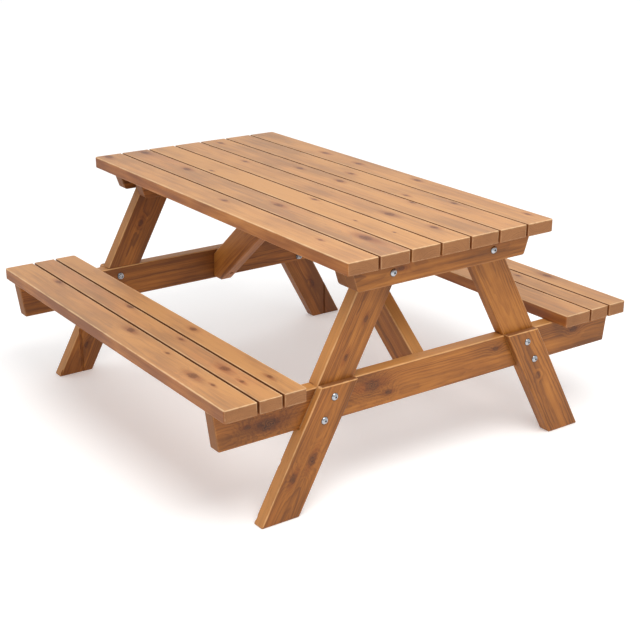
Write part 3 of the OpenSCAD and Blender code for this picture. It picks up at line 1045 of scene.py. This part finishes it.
def hexagon(mesh, start, end, across_flats):
    """Adds a hexagonal bar to a mesh of cutters."""
    cylinder(mesh, start, end, across_flats / 2 / math.cos(math.radians(30)), 6)


# The bolts' heads, sockets and threads
HEAD_D, HEAD_H, HEAD_RIM = 23 * MM, 7 * MM, 0.9 * MM
SOCKET_AF, SOCKET_DEPTH = 6 * MM, 3.5 * MM
BOLT_R, PITCH, THREAD_L = 5 * MM, 1.5 * MM, 16 * MM
THREAD_DEPTH = 0.55 * MM
TIP_CHAMFER = 0.9 * MM
DOME_STEPS = 14
STEPS_PER_PITCH = 4


def bolt_template(length):
    """A bolt along X with its head's seat at 0: domed head and threaded end, without its hexagon
    socket.
    """
    head_r = HEAD_D / 2
    shank_r = BOLT_R - 0.05 * MM
    dome_h = HEAD_H - HEAD_RIM
    dome_r = (dome_h ** 2 + head_r ** 2) / (2 * dome_h)
    tail = -length
    profile = [(tail, 0), (tail, BOLT_R - 1.1 * MM), (tail + TIP_CHAMFER, BOLT_R - 0.1 * MM)]
    steps = round(THREAD_L / PITCH * STEPS_PER_PITCH)
    for i in range(steps):
        profile.append((tail + TIP_CHAMFER + THREAD_L * (i + 1) / steps, shank_r))
    profile += [(-0.6 * MM, shank_r), (0, BOLT_R), (0, head_r - 0.5 * MM)]
    profile += [(0.15 * MM, head_r - 0.12 * MM), (0.5 * MM, head_r), (HEAD_RIM, head_r - 0.05 * MM)]
    edge_angle = math.asin((head_r - 0.25 * MM) / dome_r)
    for i in range(DOME_STEPS + 1):
        angle = edge_angle * (1 - i / DOME_STEPS)
        profile.append((HEAD_H - dome_r + dome_r * math.cos(angle), dome_r * math.sin(angle)))

    def thread(distance, turn):
        """The depth of the thread at a point of the bolt, below zero inwards."""
        if not tail + 1.0 * MM < distance < tail + THREAD_L:
            return 0.0
        wave = (distance / PITCH + turn) % 1
        return -THREAD_DEPTH * abs(wave * 2 - 1)

    return lathe(profile, 48, thread)


def template(name, mesh, *changes):
    """The mesh of a solid after boolean changes, each an operation and a mesh of cutters."""
    piece = to_object(name, mesh)
    for operation, cutter in changes:
        change_by(piece, operation, cutter)
    data = piece.data
    bpy.data.objects.remove(piece)
    return data


def fixing(name, node, material, data, place):
    """One bolt, washer, nut or screw: a copy of its template, spun on its axis and put in place."""
    piece = bpy.data.objects.new(name, data.copy())
    bpy.context.scene.collection.objects.link(piece)
    write_vectors(piece, "grain", lambda co: co)
    # The steel doesn't read the seed, but its draws come before the spin's
    random = Random(name)
    piece["seed"] = [random.uniform(-4, 4) for _ in range(3)]
    piece.data.materials.append(material)
    finish_shading(piece, 35)
    spin = Matrix.Rotation(random.uniform(0, math.tau), 4, "X")
    piece.data.transform(place @ spin)
    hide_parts(node)
    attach(piece, "root")


def facing(point, outward):
    """The place of a piece that points along +X, turned to the back where outward is -1."""
    turn = Matrix.Identity(4) if outward > 0 else Matrix.Rotation(math.pi, 4, "Z")
    return Matrix.Translation(point) @ turn


def joint_name(group, kind, mid):
    """A name such as seat_bolt_front_left_upper."""
    corner = ("front" if mid.x > 0 else "back") + ("_left" if mid.y < 0 else "_right")
    level = ""
    if group.startswith("seat"):
        level = "_upper" if mid.z > middle(group).z else "_lower"
    return f"{group.split('_')[0]}_{kind}_{corner}{level}"


def washer_template(low, high):
    """A washer with eased edges: its section, turned round X."""
    half, radius, ease = (high.x - low.x) / 2, (high.z - low.z) / 2, 0.3 * MM
    inner = BOLT_BORE + ease
    face_edge, shoulder = radius - 1.6 * ease, radius - ease / 3
    outline = [
        (-half, inner), (-half, face_edge), (-half + ease, shoulder), (0, radius),
        (half - ease, shoulder), (half, face_edge), (half, inner),
        (half - ease, BOLT_BORE), (-half + ease, BOLT_BORE), (-half, inner),
    ]
    mesh = lathe(outline, 48)
    bmesh.ops.remove_doubles(mesh, verts=mesh.verts, dist=WELD)
    return template("washer", mesh)


def nut_template(low, high):
    """A hexagon with its corners turned off, and its bore."""
    height = high.x - low.x
    half = height / 2
    corner = max(high.y - low.y, high.z - low.z) / 2
    flats = min(high.y - low.y, high.z - low.z)
    # How much of the height the turned-off corners take up at each face
    turned = 1.1 * MM
    face_r, full_r = flats / 2 * 0.97, corner * 1.01
    mesh = lathe([
        (-half, 0), (-half, face_r), (-half + turned, full_r),
        (half - turned, full_r), (half, face_r), (half, 0),
    ], 48)
    shape, bore = bmesh.new(), bmesh.new()
    hexagon(shape, -X * height, X * height, flats)
    cylinder(bore, -X * height, X * height, BOLT_R + 0.05 * MM)
    return template("nut", mesh, ("INTERSECT", shape), ("DIFFERENCE", bore))


# A screw's radii, the length of its point, and its recess: twice the depth, the length and the width
SCREW_HEAD_R, SCREW_SHANK_R, SCREW_POINT = 4.75 * MM, 2.5 * MM, 5 * MM
RECESS = (4 * MM, 4.6 * MM, 1.1 * MM, 1)


def screw_template(length):
    """A timber screw along X with its head at 0 and a cross recess in it."""
    mesh = lathe([
        (0, 0), (0, SCREW_HEAD_R - 1.4 * MM), (0.5 * MM, SCREW_HEAD_R - 0.45 * MM),
        (1.3 * MM, SCREW_HEAD_R), (1.9 * MM, SCREW_HEAD_R), (SCREW_HEAD_H, SCREW_SHANK_R),
        (length - SCREW_POINT, SCREW_SHANK_R), (length, 0.5 * MM), (length, 0),
    ], 24)
    recess = bmesh.new()
    for turn in (0, 90):
        place = Matrix.Rotation(math.radians(turn), 4, "X") @ Matrix.Diagonal(RECESS)
        bmesh.ops.create_cube(recess, size=1, matrix=place)
    return template("screw", mesh, ("DIFFERENCE", recess))


for joint in ("seat_joint", "top_joint"):
    group = f"{joint}_bolts"
    low, high = solids(group)[0]
    socket = bmesh.new()
    hexagon(socket, X * (HEAD_H - SOCKET_DEPTH), X * (HEAD_H + OVER), SOCKET_AF)
    bolt = template("bolt", bolt_template(high.x - low.x - HEAD_H), ("DIFFERENCE", socket))
    for low, high in solids(group):
        mid = (low + high) / 2
        outward = 1 if mid.x > 0 else -1
        seat = mid.copy()
        seat.x = high.x - HEAD_H if outward > 0 else low.x + HEAD_H
        name = joint_name(group, "bolt", mid)
        fixing(name, group, bright_steel, bolt, facing(seat, outward))
    for kind, make in (("washer", washer_template), ("nut", nut_template)):
        group = f"{joint}_{kind}s"
        shape = make(*solids(group)[0])
        for low, high in solids(group):
            mid = (low + high) / 2
            name = joint_name(group, kind, mid)
            fixing(name, group, bright_steel, shape, Matrix.Translation(mid))

for group in SCREW_GROUPS:
    shape = None
    for index, box in enumerate(solids(group)):
        head, tip, run = screw_run(box)
        shape = shape or screw_template((tip - head).length)
        place = Matrix.Translation(head) @ X.rotation_difference(run).to_matrix().to_4x4()
        fixing(f"{group[:-1]}_{index + 1}", group, screw_steel, shape, place)

# ---- Stage ----

FLOOR_REACH = 60
FLOOR_DROP = 0.1 * MM
FLOOR_LIGHT = (0.90, 0.90, 0.90, 1)
FLOOR_DARK = (0.88, 0.88, 0.88, 1)
FLOOR_GLOW = 0.22


def build_floor():
    """A plain pale floor that glows a little, so that it stays white round the table."""
    mesh = bmesh.new()
    bmesh.ops.create_grid(mesh, x_segments=1, y_segments=1, size=FLOOR_REACH)
    floor = to_object("floor", mesh)
    floor.location.z = -FLOOR_DROP
    material = bpy.data.materials.new("pale_floor")
    n = Nodes(material)
    place = n.add("TexCoord").outputs["Object"]
    shade = n.mix(n.times(n.noise(place, 3.0, 3.0, 0.5), 0.4), FLOOR_LIGHT, FLOOR_DARK)
    n.principled(
        Base_Color=shade, Roughness=0.9,
        Emission_Color=(1, 1, 1, 1), Emission_Strength=FLOOR_GLOW,
    )
    floor.data.materials.append(material)


# The soft light is brightest from behind the table and weakest from the side towards the camera
BRIGHT_SIDE = (-0.75, 0.6, 0.25)
WEAKEST, BRIGHTEST = 0.72, 0.98
OVERHEAD_PLACE = (2.1, -0.7, 3.5)
OVERHEAD_SIZE = 2.4
OVERHEAD_WATTS = 84
OVERHEAD_COLOUR = (1.0, 0.985, 0.96)


def build_world():
    world = bpy.data.worlds.new("studio")
    bpy.context.scene.world = world
    world.use_nodes = True
    tree = world.node_tree
    back = tree.nodes["Background"]
    back.inputs["Color"].default_value = (1.0, 1.0, 1.0, 1)
    direction = tree.nodes.new("ShaderNodeTexCoord").outputs["Generated"]
    towards = tree.nodes.new("ShaderNodeVectorMath")
    towards.operation = "DOT_PRODUCT"
    towards.inputs[1].default_value = Vector(BRIGHT_SIDE).normalized()
    strength = tree.nodes.new("ShaderNodeMapRange")
    for name, value in (("From Min", -1), ("From Max", 1), ("To Min", WEAKEST), ("To Max", BRIGHTEST)):
        strength.inputs[name].default_value = value
    tree.links.new(direction, towards.inputs[0])
    tree.links.new(towards.outputs["Value"], strength.inputs["Value"])
    tree.links.new(strength.outputs[0], back.inputs["Strength"])


def build_overhead_light():
    data = bpy.data.lights.new("overhead", "AREA")
    data.shape = "DISK"
    data.size = OVERHEAD_SIZE
    data.energy = OVERHEAD_WATTS
    data.color = OVERHEAD_COLOUR
    light = bpy.data.objects.new("overhead", data)
    light.location = OVERHEAD_PLACE
    aim = middle("centre_batten") - Vector(OVERHEAD_PLACE)
    light.rotation_euler = aim.to_track_quat("-Z", "Y").to_euler()
    bpy.context.scene.collection.objects.link(light)


# The photograph's view: where the camera stands, how far it looks down and round, and its lens
CAMERA_PLACE = (3.285, -2.240, 1.743)
CAMERA_DOWN, CAMERA_ROUND, CAMERA_LENS = 20.22, 54.93, 71.57


def build_camera():
    data = bpy.data.cameras.new("camera")
    data.sensor_width = 36
    data.lens = CAMERA_LENS
    camera = bpy.data.objects.new("camera", data)
    camera.location = CAMERA_PLACE
    camera.rotation_euler = (math.radians(90 - CAMERA_DOWN), 0, math.radians(CAMERA_ROUND))
    bpy.context.scene.collection.objects.link(camera)
    bpy.context.scene.camera = camera


build_floor()
build_world()
build_overhead_light()
build_camera()
bpy.context.scene.view_settings.view_transform = "Standard"
